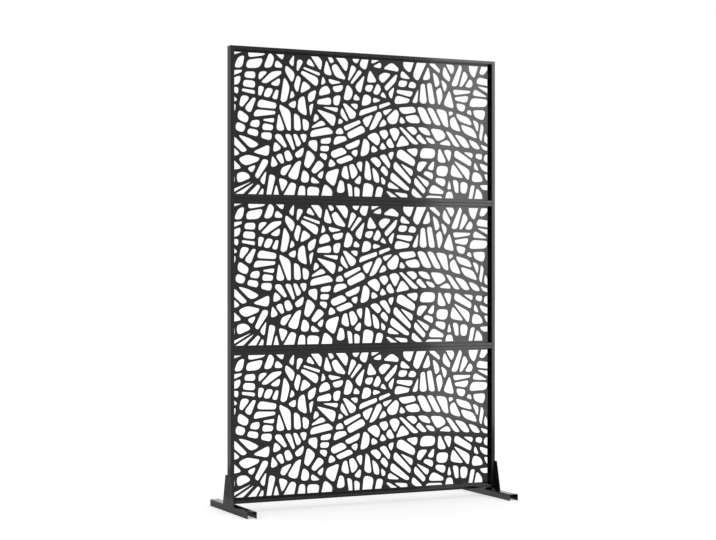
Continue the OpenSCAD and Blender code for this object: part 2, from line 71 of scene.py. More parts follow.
class ScreenSizes(bpy.types.PropertyGroup):
    """Sizes of the details that the frame itself doesn't carry, in millimetres"""

    tube_wall: size_prop("Tube wall", 1.2, "Wall of the posts and rails, in mm")
    tube_corner: size_prop("Tube corner", 1.5, "Outer corner radius of posts, rails and caps, in mm")
    tube_end: size_prop("Tube end", 0.2, "Width of the broken edge round a tube's end, in mm")
    cap_edge: size_prop("Cap edge", 0.5, "Rounding of a post cap's upper edge, in mm")
    cap_leg: size_prop("Cap leg", 8.0, "Depth to which a cap's legs reach into the tube, in mm")
    cap_tongue: size_prop("Tongue depth", 24.0, "Depth of the spigot tongue between a cap's legs, in mm")
    cut_edge: size_prop("Cut edge", 0.12, "Rounding that the coat leaves on a laser cut edge, in mm")
    cell_smooth: size_prop("Cell rounding", 2.5, "Length over which a small bend of a cell is eased, in mm")
    channel_wall: size_prop("Channel wall", 2.5, "Metal thickness of a foot, in mm")
    channel_bend: size_prop("Channel bend", 4.0, "Outer bend radius of a foot, in mm")
    plate_edge: size_prop("Plate edge", 0.35, "Broken edges of feet and gussets, in mm")
    ground_hole: size_prop("Ground hole", 9.0, "Diameter of a foot's ground holes, in mm")
    ground_inset: size_prop("Ground hole inset", 25.0, "From a foot's end to its ground hole, in mm")
    gusset_top: size_prop("Gusset top", 62.0, "Width of a gusset along its upper edge, in mm")
    gusset_foot: size_prop("Gusset foot", 6.0, "Height of a gusset's straight lower ends, in mm")
    gusset_corner: size_prop("Gusset corner", 2.0, "Rounding of a gusset's upper corners, in mm")
    gusset_drop: size_prop("Upper screw", 26.0, "From a gusset's top to its upper screw, in mm")
    weld_leg: size_prop("Weld leg", 2.5, "Size of the weld between gusset and foot, in mm")
    weld_step: size_prop("Weld ripple", 1.6, "Distance between two ripples of a weld, in mm")
    bolt: size_prop("Bolt", 5.0, "Diameter of gusset screws and foot bolts, in mm")
    sheet_screw: size_prop("Sheet screw", 4.0, "Diameter of the screws that hold the sheets, in mm")
    sheet_screw_length: size_prop("Sheet screw length", 16.0, "Length of a sheet screw's shank, in mm")


def colour_prop(name, default, description):
    """A linear colour that a user may change."""
    return bpy.props.FloatVectorProperty(name=name, description=description, default=default, size=3,
                                         min=0, max=1, subtype="COLOR")


def share_prop(name, default, description):
    """A value without a unit, from 0 up."""
    return bpy.props.FloatProperty(name=name, description=description, default=default, min=0, max=100)


class ScreenFinish(bpy.types.PropertyGroup):
    """Colours and gloss of the finishes"""

    coat: colour_prop("Coat", (0.0026, 0.0026, 0.0027), "Deep black of the powder coat")
    coat_thin: colour_prop("Thin coat", (0.0042, 0.0042, 0.0044), "Black of the coat where it is thinner")
    coat_rough: share_prop("Coat roughness", 0.11, "Roughness of the powder coat")
    coat_ior: share_prop("Coat index", 1.4, "Refractive index of the powder coat")
    oxide: colour_prop("Screw black", (0.012, 0.012, 0.013), "Black oxide of the screws")
    zinc: colour_prop("Zinc", (0.55, 0.57, 0.6), "Bright zinc plate of bolts, nuts and plugs")
    plastic: colour_prop("Nylon", (0.006, 0.006, 0.006), "Black nylon of caps and spigots")


class ScreenStage(bpy.types.PropertyGroup):
    """Camera, floor and light"""

    camera_place: bpy.props.FloatVectorProperty(
        name="Camera", description="Place of the camera", default=(-2.941, -6.064, 0.95), size=3,
        subtype="XYZ", unit="LENGTH")
    heading: bpy.props.FloatProperty(
        name="Heading", description="Turn of the camera to the right of straight on",
        default=math.radians(25.6), subtype="ANGLE")
    lens: bpy.props.FloatProperty(
        name="Lens", description="Focal length on a 36 mm wide picture, in mm", default=83.11, min=10)
    ambient: share_prop("Room light", 0.85, "Level of the even light from all round")
    floor: share_prop("Floor white", 0.8, "Whiteness of the floor")
    lift: share_prop("Floor lift", 0.42, "What is added to the floor where it is seen or mirrored")
    key: share_prop("Softbox", 4.7, "Brightness of the softbox's upper edge against a white wall")
    key_fall: share_prop("Softbox fall", 0.42, "Share of its brightness that the softbox loses downwards")
    key_wing: bpy.props.FloatProperty(
        name="Softbox wing", description="Width of the softbox's faint inner wing", default=0.9, min=0,
        unit="LENGTH")
    wing_glow: share_prop("Wing glow", 0.1, "Brightness of the wing beside the softbox, against its own")
    key_low: bpy.props.FloatVectorProperty(
        name="Softbox corner", description="Lower inner corner of the softbox",
        default=(1.369, -2.02, 0.072), size=3, subtype="XYZ", unit="LENGTH")
    key_size: bpy.props.FloatVectorProperty(
        name="Softbox size", description="Width and height of the softbox", default=(1.25, 2.25), size=2,
        unit="LENGTH")


# ---- Modelling -----------------------------------------------------------------------------------


def deselect():
    """Leaves nothing selected, because an operator acts on all that is."""
    if bpy.context.object is not None and bpy.context.object.mode != "OBJECT":
        bpy.ops.object.mode_set(mode="OBJECT")
    bpy.ops.object.select_all(action="DESELECT")


def activate(obj):
    """Makes obj the only selected object."""
    deselect()
    obj.select_set(True)
    bpy.context.view_layer.objects.active = obj


def settle(obj):
    """Puts obj's place, turn and scale into its mesh."""
    activate(obj)
    bpy.ops.object.transform_apply(location=True, rotation=True, scale=True)


def block(name, low, high):
    """A box between two corners, ready to be shaped."""
    deselect()
    low, high = Vector(low), Vector(high)
    bpy.ops.mesh.primitive_cube_add(size=1, location=(low + high) / 2, scale=high - low)
    obj = bpy.context.object
    obj.name = name
    settle(obj)
    return obj


def rod(name, centre, radius, length, axis, sides):
    """A round bar along an axis, ready to be shaped or to cut with."""
    deselect()
    turn = Vector((0, 0, 1)).rotation_difference(Vector(axis)).to_euler()
    bpy.ops.mesh.primitive_cylinder_add(vertices=sides, radius=radius, depth=length, location=centre,
                                        rotation=turn)
    obj = bpy.context.object
    obj.name = name
    settle(obj)
    return obj


def pick(obj, kind, test):
    """In edit mode, selects the faces or edges of obj that pass a test."""
    activate(obj)
    bpy.ops.object.mode_set(mode="EDIT")
    bpy.ops.mesh.select_mode(type={"faces": "FACE", "edges": "EDGE"}[kind])
    bpy.ops.mesh.select_all(action="DESELECT")
    mesh = bmesh.from_edit_mesh(obj.data)
    chosen = [element for element in getattr(mesh, kind) if test(element)]
    if not chosen:
        raise RuntimeError(f"{obj.name}: none of its {kind} is where it should be")
    for element in chosen:
        element.select_set(True)
    bmesh.update_edit_mesh(obj.data)


def along(direction):
    """A test for edges that run along a direction, either way."""
    direction = Vector(direction)

    def test(edge):
        run = edge.verts[1].co - edge.verts[0].co
        return run.length > 0 and abs(run.normalized().dot(direction)) > ALIGNED

    return test


def sharp(edge):
    """Whether two faces meet at an edge, and meet sharply."""
    return edge.is_manifold and edge.calc_face_angle(0) > SHARP


def break_edges(obj, test, width, steps):
    """Bevels the edges of obj that pass a test, in so many steps."""
    pick(obj, "edges", test)
    bpy.ops.mesh.bevel(offset=width, offset_type="OFFSET", segments=steps, profile=0.5, affect="EDGES")
    bpy.ops.object.mode_set(mode="OBJECT")


def remove_faces(obj, test):
    """Deletes the faces of obj that pass a test."""
    pick(obj, "faces", test)
    bpy.ops.mesh.delete(type="FACE")
    bpy.ops.object.mode_set(mode="OBJECT")


def apply_modifier(obj, kind, **settings):
    """Adds one modifier to obj and applies it."""
    activate(obj)
    modifier = obj.modifiers.new(kind.title(), kind)
    for key, value in settings.items():
        setattr(modifier, key, value)
    bpy.ops.object.modifier_apply(modifier=modifier.name)


def hollow(obj, wall):
    """Gives an open shell its wall, measured inwards."""
    apply_modifier(obj, "SOLIDIFY", thickness=wall, offset=-1, use_even_offset=True, use_rim=True)


def cut(obj, tool):
    """Cuts obj with a tool, and throws the tool away."""
    apply_modifier(obj, "BOOLEAN", object=tool, operation="DIFFERENCE", solver="EXACT")
    bpy.data.objects.remove(tool)


def joined(name, objects):
    """Several objects as one."""
    deselect()
    for obj in objects:
        obj.select_set(True)
    bpy.context.view_layer.objects.active = objects[0]
    bpy.ops.object.join()
    objects[0].name = name
    return objects[0]


def twin(name, pattern, place):
    """A copy of the pattern at a place, with its own mesh."""
    obj = bpy.data.objects.new(name, pattern.data.copy())
    bpy.context.collection.objects.link(obj)
    obj.matrix_world = place
    settle(obj)
    return obj


def copies(name, pattern, places):
    """One object with a copy of the pattern at each place, and the pattern itself removed."""
    made = [twin(name, pattern, place) for place in places]
    bpy.data.objects.remove(pattern)
    return joined(name, made)


def cleaned(obj):
    """Merges doubles, drops faces without an area and turns every face outwards."""
    activate(obj)
    bpy.ops.object.mode_set(mode="EDIT")
    bpy.ops.mesh.select_all(action="SELECT")
    bpy.ops.mesh.remove_doubles(threshold=0.005 * MM)
    bpy.ops.mesh.dissolve_degenerate(threshold=0.001 * MM)
    bpy.ops.mesh.normals_make_consistent(inside=False)
    bpy.ops.object.mode_set(mode="OBJECT")


def smoothed(obj, angle=40, weighted=True):
    """Smooth bends and crisp edges, with flat faces kept truly flat."""
    activate(obj)
    bpy.ops.object.shade_smooth_by_angle(angle=math.radians(angle))
    if weighted:
        apply_modifier(obj, "WEIGHTED_NORMAL", mode="FACE_AREA", weight=100, keep_sharp=True)


def lathe(name, profile, sides):
    """A solid turned about Z from a profile of (radius, height) that begins and ends on the axis."""
    deselect()
    bpy.ops.mesh.primitive_plane_add(size=MM)
    obj = bpy.context.object
    obj.name = name
    bpy.ops.object.mode_set(mode="EDIT")
    bpy.ops.mesh.select_all(action="SELECT")
    bpy.ops.mesh.delete(type="VERT")
    mesh = bmesh.from_edit_mesh(obj.data)
    points = [mesh.verts.new((r, 0, z)) for r, z in profile]
    for a, b in zip(points, points[1:]):
        mesh.edges.new((a, b))
    bmesh.update_edit_mesh(obj.data)
    bpy.ops.mesh.select_all(action="SELECT")
    bpy.ops.mesh.spin(steps=sides, angle=2 * math.pi, center=(0, 0, 0), axis=(0, 0, 1))
    bpy.ops.object.mode_set(mode="OBJECT")
    cleaned(obj)
    return obj


def finished(obj, slot, *nodes):
    """Gives a piece its finish, hangs it under the body's empty and hides the CAD nodes it stands for."""
    activate(obj)
    obj.data.materials.clear()
    obj.data.materials.append(finish(slot))
    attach(obj, BODY)
    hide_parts(*nodes)


# ---- Finishes ------------------------------------------------------------------------------------


def feed(tree, node, sockets):
    """Gives sockets of a node their values or links."""
    for key, value in sockets:
        if isinstance(value, Signal):
            tree.links.new(value.socket, node.inputs[key])
        else:
            node.inputs[key].default_value = value


class Signal:
    """A value that varies over a surface. Sums with it add the nodes that work them out."""

    def __init__(self, tree, socket):
        self.tree = tree
        self.socket = socket

    def worked(self, operation, *values):
        """What one Math node makes of these values."""
        node = self.tree.nodes.new("ShaderNodeMath")
        node.operation = operation
        feed(self.tree, node, enumerate(values))
        return Signal(self.tree, node.outputs[0])

    def __add__(self, other):
        return self.worked("ADD", self, other)

    def __sub__(self, other):
        return self.worked("SUBTRACT", self, other)

    def __rsub__(self, other):
        return self.worked("SUBTRACT", other, self)

    def __mul__(self, other):
        return self.worked("MULTIPLY", self, other)

    __radd__ = __add__
    __rmul__ = __mul__

    def above(self, level):
        """1 where the value is over a level, and 0 elsewhere."""
        return self.worked("GREATER_THAN", self, level)

    def or_more(self, other):
        """The larger of two values."""
        return self.worked("MAXIMUM", self, other)


class Finish:
    """The nodes of a material, a lamp or the world, while they are written."""

    def __init__(self, owner):
        owner.use_nodes = True
        self.tree = owner.node_tree
        self.tree.nodes.clear()

    def node(self, kind, settings=None, sockets=None, output=0):
        """Adds a node with its settings and its sockets' values or links, and gives one output."""
        node = self.tree.nodes.new("ShaderNode" + kind)
        for key, value in (settings or {}).items():
            setattr(node, key, value)
        feed(self.tree, node, (sockets or {}).items())
        return Signal(self.tree, node.outputs[output]) if len(node.outputs) else None

    def place(self, **mapping):
        """A point's place in the object, in metres, moved or scaled by a mapping's Location or Scale."""
        return self.node("Mapping", {}, {"Vector": self.node("TexCoord", output="Object"), **mapping})

    def noise(self, place, scale, detail):
        """Soft noise from 0 to 1 with so many features to a metre."""
        return self.node("TexNoise", {"noise_dimensions": "3D"},
                         {"Vector": place, "Scale": scale, "Detail": detail, "Roughness": 0.5}, "Fac")

    def mixed(self, mask, one, other):
        """One colour where the mask is 0 and the other where it is 1."""
        factor, colour_a, colour_b, colour_out = 0, 6, 7, 2
        return self.node("Mix", {"data_type": "RGBA"},
                         {factor: mask, colour_a: (*one, 1), colour_b: (*other, 1)}, colour_out)

    def relief(self, height):
        """The normal that a height in metres gives a surface."""
        return self.node("Bump", {}, {"Strength": 1.0, "Distance": 1.0, "Height": height})

    def surface(self, sockets):
        """Ends a material in one principled surface."""
        surface = self.node("BsdfPrincipled", {}, sockets)
        self.node("OutputMaterial", {}, {"Surface": surface})


def tinted(colour, share):
    """A colour made lighter or darker."""
    return tuple(share * part for part in colour)


def powder_coat(look, material, peel, shift, rough):
    """Satin black powder coat: an even skin with a faint orange peel and a slow drift in gloss."""
    coat = Finish(material)
    place = coat.place(Location=(shift, shift / 2, -shift))
    dimples = coat.noise(place, 520, 1.5)
    waves = coat.noise(place, 130, 1)
    specks = coat.noise(place, 3200, 1)
    drift = coat.noise(place, 4.5, 3)
    deep, wide, fine = 2.2 * MICRON * peel, 3.5 * MICRON * peel, 0.2 * MICRON * peel
    coat.surface({
        "Base Color": coat.mixed(drift * 0.7 + specks * 0.3, look.coat, look.coat_thin),
        "Roughness": rough * (drift * 0.16 + 0.92) + specks * 0.012 - 0.006,
        "IOR": look.coat_ior,
        "Normal": coat.relief(dimples * deep + waves * wide + specks * fine),
    })


def black_oxide(look, material):
    """Oiled black oxide on turned screws, with faint tool marks."""
    oxide = Finish(material)
    place = oxide.place()
    cloud = oxide.noise(place, 260, 3)
    grain = oxide.noise(place, 4200, 2)
    oxide.surface({
        "Base Color": oxide.mixed(cloud, look.oxide, tinted(look.oxide, 2.2)),
        "Metallic": 0.35,
        "Roughness": 0.24 + cloud * 0.14 + grain * 0.05,
        "Normal": oxide.relief(grain * (1.2 * MICRON)),
    })


def zinc_plate(look, material):
    """Bright zinc plate with a cool cast and a fine, uneven sheen."""
    zinc = Finish(material)
    cloud = zinc.noise(zinc.place(), 180, 3)
    brush = zinc.noise(zinc.place(Scale=(1, 1, 14)), 900, 2)
    zinc.surface({
        "Base Color": zinc.mixed(cloud, look.zinc, tinted(look.zinc, 0.78)),
        "Metallic": 1.0,
        "Roughness": 0.26 + cloud * 0.16 + brush * 0.08,
        "Normal": zinc.relief(brush * (1.5 * MICRON)),
    })


def moulded_nylon(look, material):
    """Black moulded nylon with the fine grain of its mould."""
    nylon = Finish(material)
    place = nylon.place()
    grain = nylon.node("TexVoronoi", {"feature": "SMOOTH_F1"},
                       {"Vector": place, "Scale": 1900, "Smoothness": 0.6}, "Distance")
    cloud = nylon.noise(place, 90, 2)
    nylon.surface({
        "Base Color": nylon.mixed(cloud, look.plastic, tinted(look.plastic, 1.6)),
        "Roughness": 0.3 + cloud * 0.06 + grain * 0.08,
        "Normal": nylon.relief(grain * (3 * MICRON)),
    })


def finish(slot):
    """The material of one finish slot, made once."""
    name = f"{slot}_finish"
    if name in bpy.data.materials:
        return bpy.data.materials[name]
    look = bpy.context.scene.screen_finish
    material = bpy.data.materials.new(name)
    makers = {
        "frame_coat": lambda: powder_coat(look, material, 1.0, 0.0, look.coat_rough),
        "sheet_coat": lambda: powder_coat(look, material, 0.8, 3.7, look.coat_rough),
        "foot_coat": lambda: powder_coat(look, material, 1.3, 8.2, look.coat_rough * 1.1),
        "black_screws": lambda: black_oxide(look, material),
        "zinc_steel": lambda: zinc_plate(look, material),
        "black_plastic": lambda: moulded_nylon(look, material),
    }
    makers[slot]()
    return material


# ---- Pieces --------------------------------------------------------------------------------------


def middle(node):
    """The centre of a CAD node's box."""
    low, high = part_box(node)
    return (low + high) / 2


def tube(name, node, axis, sizes):
    """A hollow tube in a CAD node's place, with rounded corners and broken ends, its bore along an axis."""
    low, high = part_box(node)
    axis = Vector(axis)
    obj = block(name, low, high)
    break_edges(obj, along(axis), sizes.tube_corner * MM, steps=6)
    remove_faces(obj, lambda face: abs(face.normal.dot(axis)) > ALIGNED)
    hollow(obj, sizes.tube_wall * MM)
    ends = low.dot(axis), high.dot(axis)
    centre = (low + high) / 2

    def outward(face):
        """Whether a side face looks away from the tube's middle line."""
        away = face.calc_center_median() - centre
        return abs(face.normal.dot(axis)) < 0.5 and face.normal.dot(away - axis * away.dot(axis)) > 0

    def at_end(edge):
        """Whether an edge runs round the outside of one of the two ends."""
        a, b = (vertex.co.dot(axis) for vertex in edge.verts)
        level = abs(a - b) <= NEAR and min(abs(a - end) for end in ends) <= NEAR
        return level and any(outward(face) for face in edge.link_faces)

    break_edges(obj, at_end, sizes.tube_end * MM, steps=2)
    smoothed(obj)
    return obj


class SCREEN_OT_posts(bpy.types.Operator):
    """Two hollow posts that run from the feet up to their caps"""

    bl_idname = "screen.posts"
    bl_label = "Posts"
    bl_options = {"REGISTER", "UNDO"}

    def execute(self, context):
        for side in SIDES:
            node = f"{side}_post"
            post = tube(f"{side}_post_tube", node, (0, 0, 1), context.scene.screen_sizes)
            finished(post, "frame_coat", node)
        return {"FINISHED"}


class SCREEN_OT_post_caps(bpy.types.Operator):
    """Nylon caps with a rounded flange and two legs that hold in the tube"""

    bl_idname = "screen.post_caps"
    bl_label = "Post caps"
    bl_options = {"REGISTER", "UNDO"}

    def execute(self, context):
        sizes = context.scene.screen_sizes
        wall_room, tongue_room, lead_in = 0.2, 1.0, 0.3
        for side in SIDES:
            node = f"{side}_post_cap"
            low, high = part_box(node)
            under = low.z + sizes.cap_leg * MM
            flange = block(f"{side}_cap", (low.x, low.y, under), high)
            break_edges(flange, along((0, 0, 1)), sizes.tube_corner * MM, steps=6)
            break_edges(flange, lambda e: min(v.co.z for v in e.verts) > high.z - NEAR,
                        sizes.cap_edge * MM, steps=3)
            inner = (sizes.tube_wall + wall_room) * MM
            reach = sizes.cap_tongue * MM / 2 + tongue_room * MM
            centre = (low.y + high.y) / 2
            legs = [block("leg", (low.x + inner, front, low.z), (high.x - inner, back, under))
                    for front, back in ((low.y + inner, centre - reach), (centre + reach, high.y - inner))]
            for leg in legs:
                break_edges(leg, lambda e: max(v.co.z for v in e.verts) < low.z + NEAR, lead_in * MM, steps=2)
            cap = joined(f"{side}_cap", [flange, *legs])
            smoothed(cap)
            finished(cap, "black_plastic", node)
        return {"FINISHED"}


class SCREEN_OT_rails(bpy.types.Operator):
    """Six hollow cross rails between the posts"""

    bl_idname = "screen.rails"
    bl_label = "Rails"
    bl_options = {"REGISTER", "UNDO"}

    def execute(self, context):
        for section in SECTIONS:
            for end in ("top", "bottom"):
                node = f"{section}_section_{end}_rail"
                rail = tube(f"{section}_{end}_rail_tube", node, (1, 0, 0), context.scene.screen_sizes)
                finished(rail, "frame_coat", node)
        return {"FINISHED"}


def outlines(node):
    """The closed outlines of a sheet's front face, as lists of vectors of X and Z."""
    mesh = bmesh.new()
    mesh.from_mesh(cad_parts[node].data)
    bmesh.ops.remove_doubles(mesh, verts=mesh.verts, dist=0.001 * MM)
    following = {}
    for edge in mesh.edges:
        fronts = [loop for loop in edge.link_loops if loop.face.normal.y < -ALIGNED]
        if len(fronts) == 1 and len(edge.link_faces) == 2:
            following[fronts[0].vert] = fronts[0].link_loop_next.vert
    loops = []
    while following:
        here = min(following, key=lambda v: (round(v.co.z, 6), round(v.co.x, 6)))
        loop = []
        while here in following:
            loop.append(here.co.xz)
            here = following.pop(here)
        loops.append(loop)
    mesh.free()
    return loops


def eased(loop, length):
    """A closed outline with its small bends eased, and its real corners and straight runs as they were."""
    straight, corner, share = 1, 50, 0.3
    kept = []
    for i, here in enumerate(loop):
        back, on = loop[i - 1] - here, loop[(i + 1) % len(loop)] - here
        bend = math.degrees(math.pi - back.angle(on, math.pi))
        if bend < straight or bend > corner:
            kept.append(here)
            continue
        reach = min(length, share * back.length, share * on.length)
        a, b = here + back.normalized() * reach, here + on.normalized() * reach
        kept += [a, (a + here * 2 + b) / 4, b]
    return kept


def cut_sheet(node, sizes):
    """A laser cut sheet with the outlines of a CAD node and the soft edges of its coat."""
    low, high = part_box(node)
    edge = sizes.cut_edge * MM
    curve = bpy.data.curves.new("sheet", "CURVE")
    curve.dimensions = "2D"
    curve.fill_mode = "BOTH"
    curve.extrude = (high.y - low.y) / 2 - edge
    curve.bevel_depth = edge
    curve.bevel_resolution = 1
    curve.offset = -edge
    for loop in outlines(node):
        is_cell = len(loop) > 4    # The sheet's own edge has four corners and stays as it is.
        points = eased(loop, sizes.cell_smooth * MM) if is_cell else loop
        spline = curve.splines.new("POLY")
        spline.points.add(len(points) - 1)
        for point, place in zip(spline.points, points):
            point.co = (place.x, place.y, 0, 1)
        spline.use_cyclic_u = True
    sheet = bpy.data.objects.new("sheet", curve)
    bpy.context.collection.objects.link(sheet)
    activate(sheet)
    bpy.ops.object.convert(target="MESH")
    sheet = bpy.context.object
    upright = Matrix.Rotation(math.pi / 2, 4, "X")
    sheet.matrix_world = Matrix.Translation((0, (low.y + high.y) / 2, 0)) @ upright
    settle(sheet)
    cleaned(sheet)
    smoothed(sheet, angle=20, weighted=False)
    return sheet


class SCREEN_OT_sheets(bpy.types.Operator):
    """Three laser cut sheets of one pattern, cut along the outlines of the frame's own sheet"""

    bl_idname = "screen.sheets"
    bl_label = "Laser cut sheets"
    bl_options = {"REGISTER", "UNDO"}

    def execute(self, context):
        pattern = cut_sheet("middle_panel", context.scene.screen_sizes)
        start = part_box("middle_panel")[0].z
        for section in SECTIONS:
            node = f"{section}_panel"
            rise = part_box(node)[0].z - start
            sheet = twin(f"{section}_sheet", pattern, Matrix.Translation((0, 0, rise)))
            finished(sheet, "sheet_coat", node)
        bpy.data.objects.remove(pattern)
        return {"FINISHED"}


def button_screw(sizes):
    """A screw with a low round head and a hexagon socket, its seat at the origin and its head up."""
    r = sizes.sheet_screw * MM / 2
    head, tall, length = 2 * r, 1.1 * r, sizes.sheet_screw_length * MM
    dome = [(head * math.cos(math.radians(t)), tall * (0.25 + 0.75 * math.sin(math.radians(t))))
            for t in (8, 24, 40, 56, 68)]
    tip = [(0, -length), (0.7 * r, -length), (r, MM - length)]
    rim = [(r, 0), (0.97 * head, 0), (head, 0.08 * tall), (head, 0.28 * tall)]
    screw = lathe("screw", [*tip, *rim, *dome, (0.3 * head, tall), (0, tall)], sides=28)
    cut(screw, rod("key", (0, 0, 0.9 * tall), 0.72 * r, tall, (0, 0, 1), sides=6))
    break_edges(screw, lambda e: sharp(e) and min(v.co.z for v in e.verts) > 0.9 * tall, 0.06 * MM, steps=1)
    smoothed(screw, angle=35)
    return screw


class SCREEN_OT_sheet_screws(bpy.types.Operator):
    """Round-headed screws that hold each sheet from behind"""

    bl_idname = "screen.sheet_screws"
    bl_label = "Sheet screws"
    bl_options = {"REGISTER", "UNDO"}

    def execute(self, context):
        sizes = context.scene.screen_sizes
        post = middle("right_post").x
        half_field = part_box("right_post")[0].x
        backwards = Matrix.Rotation(-math.pi / 2, 4, "X")
        stop = 2.4    # Each socket stops at another angle than the one before, by this much.
        for section in SECTIONS:
            node = f"{section}_panel"
            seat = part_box(node)[1].y
            ends = [middle(f"{section}_section_{end}_rail").z for end in ("bottom", "top")]
            spots = [(x, z) for z in ends for x in (-post, post)]
            spots += [(share * half_field, z) for z in ends for share in (-0.75, -0.25, 0.25, 0.75)]
            spots += [(x, sum(ends) / 2) for x in (-post, post)]
            places = [Matrix.Translation((x, seat, z)) @ backwards @ Matrix.Rotation(stop * i, 4, "Z")
                      for i, (x, z) in enumerate(spots)]
            screws = copies(f"{section}_sheet_screws", button_screw(sizes), places)
            finished(screws, "black_screws", f"{node}_screws")
        return {"FINISHED"}


class SCREEN_OT_feet(bpy.types.Operator):
    """Two channel feet, folded from one strip, with their ground holes"""

    bl_idname = "screen.feet"
    bl_label = "Feet"
    bl_options = {"REGISTER", "UNDO"}

    def execute(self, context):
        sizes = context.scene.screen_sizes
        bolt_room, drill = 0.5, 10 * MM
        for side in SIDES:
            node = f"{side}_foot"
            low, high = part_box(node)
            foot = block(f"{side}_channel_foot", low, high)
            break_edges(foot, lambda e: along((0, 1, 0))(e) and min(v.co.z for v in e.verts) > high.z - NEAR,
                        sizes.channel_bend * MM, steps=8)
            remove_faces(foot, lambda face: abs(face.normal.y) > ALIGNED or face.normal.z < -ALIGNED)
            hollow(foot, sizes.channel_wall * MM)
            centre = (low + high) / 2
            web = high.z - sizes.channel_wall * MM / 2
            reach = (high.y - low.y) / 2 - sizes.ground_inset * MM
            ground_bore, bolt_bore = sizes.ground_hole * MM / 2, (sizes.bolt + bolt_room) * MM / 2
            for y in (-reach, reach):
                cut(foot, rod("drill", (centre.x, y, web), ground_bore, drill, (0, 0, 1), sides=48))
            post = middle(f"{side}_post")
            cut(foot, rod("drill", (post.x, post.y, web), bolt_bore, drill, (0, 0, 1), sides=32))
            apply_modifier(foot, "BEVEL", width=sizes.plate_edge * MM, segments=2, limit_method="ANGLE",
                           angle_limit=math.radians(50))
            smoothed(foot)
            finished(foot, "foot_coat", node)
        return {"FINISHED"}


def weld_bead(name, centre, length, sizes):
    """A weld along Y with the ripples of its laying, tapered at both ends."""
    radius, step = sizes.weld_leg * MM, sizes.weld_step * MM
    cuts_to_a_step, run_out, fullness, thinnest = 6, 1.6 * radius, 0.82, 0.12
    bead = rod(name, (0, 0, 0), radius, length, (0, 1, 0), sides=20)
    pick(bead, "edges", along((0, 1, 0)))
    bpy.ops.mesh.subdivide(number_cuts=int(cuts_to_a_step * length / step))
    bpy.ops.object.mode_set(mode="OBJECT")
    for vertex in bead.data.vertices:
        y = vertex.co.y
        to_end = max(0.0, (length / 2 - abs(y)) / run_out)
        taper = math.sqrt(max(0.0, 1 - (1 - min(1.0, to_end)) ** 2))
        laid = y / step
        ripple = 1 + 0.07 * abs(math.sin(math.pi * laid)) + 0.04 * math.sin(2.3 * laid)
        grow = max(thinnest, fullness * taper * ripple)
        vertex.co = Vector((vertex.co.x * grow, y, vertex.co.z * grow)) + Vector(centre)
    smoothed(bead, angle=60, weighted=False)
    return bead


def countersink(obj, centre, sign, sizes):
    """Cuts the hole and the seat of a flush screw, from the middle of the seat's outer rim."""
    bolt, spare = sizes.bolt * MM, 0.5 * MM
    small, large = (bolt + spare) / 2, bolt + 0.1 * MM
    slope = (large - small) / (bolt / 2)
    tool = lathe("countersink_drill", [(0, -2 * bolt), (small, -2 * bolt), (small, -bolt / 2),
                                       (large + slope * spare, spare), (0, spare)], sides=32)
    tool.matrix_world = Matrix.Translation(centre) @ Matrix.Rotation(sign * math.pi / 2, 4, "Y")
    settle(tool)
    cut(obj, tool)


def outer_side(node, sign):
    """The X of a CAD node's outer side, left for -1 and right for 1."""
    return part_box(node)[0 if sign < 0 else 1].x


